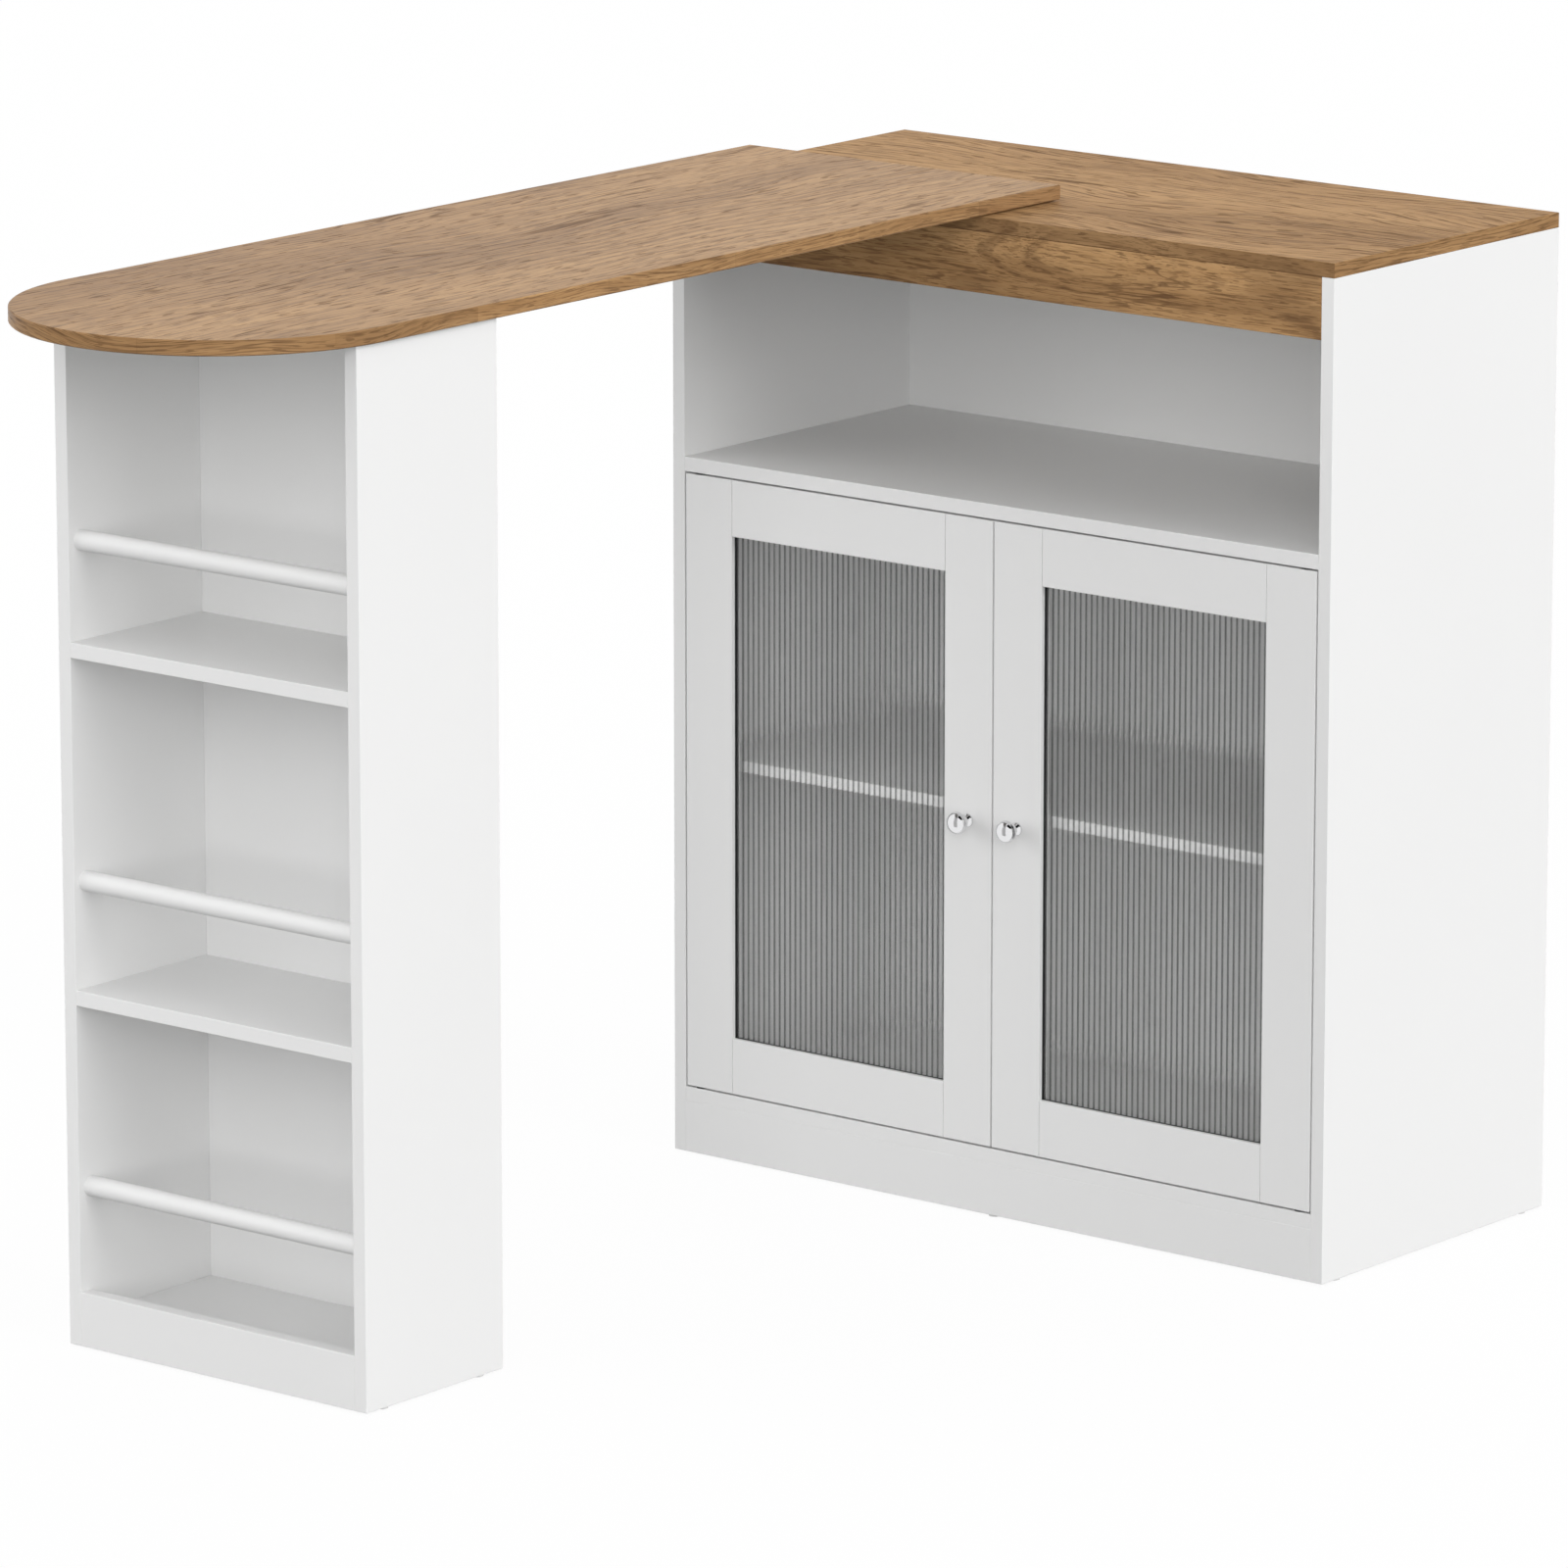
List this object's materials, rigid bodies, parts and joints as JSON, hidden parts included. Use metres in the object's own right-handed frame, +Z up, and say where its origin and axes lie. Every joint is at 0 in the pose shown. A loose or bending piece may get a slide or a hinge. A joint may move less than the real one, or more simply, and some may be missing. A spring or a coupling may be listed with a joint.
{
  "type": "rotating bar table",
  "caption": "Bar table whose long round-ended top turns on a pivot in a storage cabinet with an open shelf and reeded-glass doors, and stands on a shelved bottle tower.",
  "frame": {"origin": "on the floor, under the middle of the overall box at rest", "axes": "+Z up; +Y along the tabletop from its round end to the cabinet's back; +X to the right along the cabinet's front, seen from the doors"},
  "size_m": [0.828, 1.481, 1.0395],
  "materials": {
    "white_melamine": "satin white melamine board",
    "oak_laminate": "golden oak laminate, satin",
    "reeded_glass": "clear reeded glass",
    "chrome": "polished",
    "steel": "zinc plated",
    "zinc_fittings": "die-cast zinc",
    "nylon": "natural nylon",
    "black_seal": "black glazing seal",
    "beech_dowel": "plain beech",
    "glide_plastic": "grey plastic",
    "catch_plastic": "white plastic"
  },
  "bodies": {
    "cabinet": {"cabinet_left_side": "white_melamine", "cabinet_right_side": "white_melamine", "cabinet_top": "oak_laminate", "front_apron": "oak_laminate", "middle_shelf": "white_melamine", "bottom_panel": "white_melamine", "front_plinth": "white_melamine", "back_panel": "white_melamine", "inner_shelf": "white_melamine", "shelf_pins": "steel", "cabinet_cam_locks": "zinc_fittings", "cabinet_cam_bolts": "steel", "cabinet_dowels": "beech_dowel", "cabinet_glides": "glide_plastic", "magnetic_catches": "catch_plastic", "door_bushes": "nylon", "swivel_bush": "nylon", "slip_washer": "nylon"},
    "table": {"tabletop": "oak_laminate", "pivot_plate": "steel", "plate_screws": "steel", "lock_nut": "steel", "tower_left_side": "white_melamine", "tower_right_side": "white_melamine", "tower_back": "white_melamine", "upper_tower_shelf": "white_melamine", "lower_tower_shelf": "white_melamine", "tower_bottom": "white_melamine", "tower_kickboard": "white_melamine", "upper_bar": "white_melamine", "middle_bar": "white_melamine", "lower_bar": "white_melamine", "tower_cam_locks": "zinc_fittings", "tower_cam_bolts": "steel", "tower_dowels": "beech_dowel", "tower_glides": "glide_plastic", "table_brackets": "steel", "bracket_screws": "steel"},
    "left_door": {"left_door_hinge_stile": "white_melamine", "left_door_meeting_stile": "white_melamine", "left_door_top_rail": "white_melamine", "left_door_bottom_rail": "white_melamine", "left_door_glass": "reeded_glass", "left_door_glass_seal": "black_seal", "left_door_glass_beads": "white_melamine", "left_door_pivot_pins": "steel", "left_door_knob": "chrome", "left_door_knob_screw": "steel", "left_door_strike_plate": "steel"},
    "right_door": {"right_door_hinge_stile": "white_melamine", "right_door_meeting_stile": "white_melamine", "right_door_top_rail": "white_melamine", "right_door_bottom_rail": "white_melamine", "right_door_glass": "reeded_glass", "right_door_glass_seal": "black_seal", "right_door_glass_beads": "white_melamine", "right_door_pivot_pins": "steel", "right_door_knob": "chrome", "right_door_knob_screw": "steel", "right_door_strike_plate": "steel"}
  },
  "joints": [
    {"name": "table_swivel", "type": "hinge", "parent": "cabinet", "child": "table", "pos_m": [-0.213, 0.4205, 1.0155], "axis": [0, 0, 1], "continuous": true},
    {"name": "left_door_hinge", "type": "hinge", "parent": "cabinet", "child": "left_door", "pos_m": [-0.382, 0.3675, 0.39525], "axis": [0, 0, -1], "range_deg": [0, 95]},
    {"name": "right_door_hinge", "type": "hinge", "parent": "cabinet", "child": "right_door", "pos_m": [0.382, 0.3675, 0.39525], "axis": [0, 0, 1], "range_deg": [0, 95]}
  ]
}
